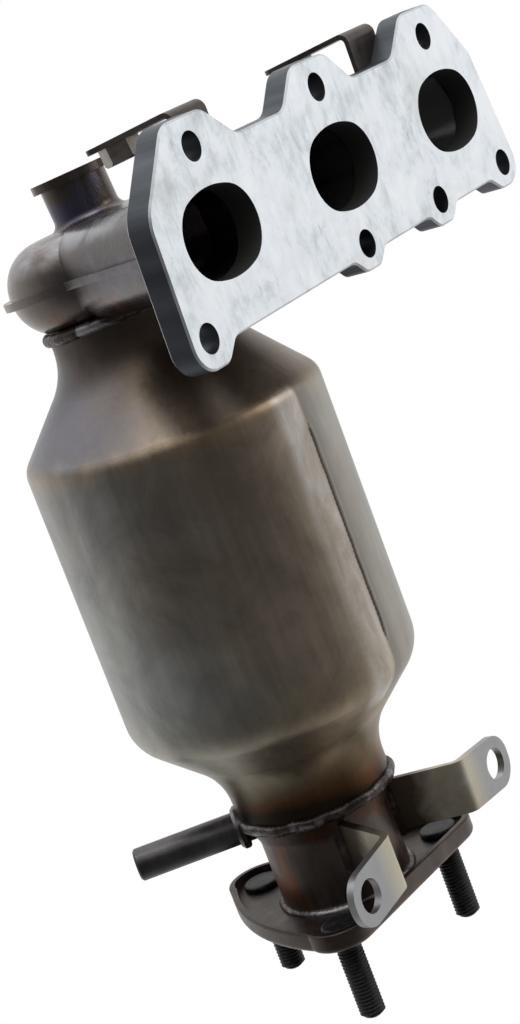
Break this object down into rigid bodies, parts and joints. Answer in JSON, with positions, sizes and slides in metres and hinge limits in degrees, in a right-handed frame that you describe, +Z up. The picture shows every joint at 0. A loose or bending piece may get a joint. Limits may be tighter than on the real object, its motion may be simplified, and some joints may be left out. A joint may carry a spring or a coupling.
{
  "type": "catalytic converter",
  "caption": "Close-coupled catalytic converter: a ported head flange, pressed collector and round can with a sensor boss, lobed outlet flange, studs, rod and support arms.",
  "frame": {"origin": "centre of the middle port on the head flange's sealing face", "axes": "+X along the row of ports, +Y away from the engine, +Z up along the canister, away from the outlet"},
  "size_m": [0.2385, 0.1581, 0.3427],
  "materials": {
    "flange_steel": "machined, dull",
    "collector_steel": "pressed, heat-tinted",
    "canister_steel": "rolled, heat-tinted",
    "pipe_steel": "dark, heat-tinted",
    "bracket_steel": "pressed, heat-tinted",
    "boss_steel": "turned",
    "stud_steel": "dark, threaded",
    "rod_steel": "drawn, dark",
    "weld_metal": "rippled, burnt",
    "cordierite": "matt, porous",
    "fibre_mat": "matt, fibrous"
  },
  "bodies": {
    "root": {"head_flange": "flange_steel", "collector_upper_shell": "collector_steel", "collector_lower_shell": "collector_steel", "collector_flange_weld": "weld_metal", "canister_shell": "canister_steel", "canister_seam_weld": "weld_metal", "catalyst_monolith": "cordierite", "support_mat": "fibre_mat", "inlet_weld": "weld_metal", "sensor_boss": "boss_steel", "boss_weld": "weld_metal", "shield_bracket_left": "bracket_steel", "weld_nut_left": "stud_steel", "shield_bracket_right": "bracket_steel", "weld_nut_right": "stud_steel", "outlet_pipe": "pipe_steel", "outlet_weld": "weld_metal", "outlet_flange": "pipe_steel", "outlet_flange_weld": "weld_metal", "outlet_stud_1": "stud_steel", "outlet_stud_2": "stud_steel", "outlet_stud_3": "stud_steel", "hanger_rod": "rod_steel", "hanger_weld": "weld_metal", "support_bracket_left": "bracket_steel", "support_weld_left": "weld_metal", "support_bracket_right": "bracket_steel", "support_weld_right": "weld_metal"}
  },
  "joints": []
}
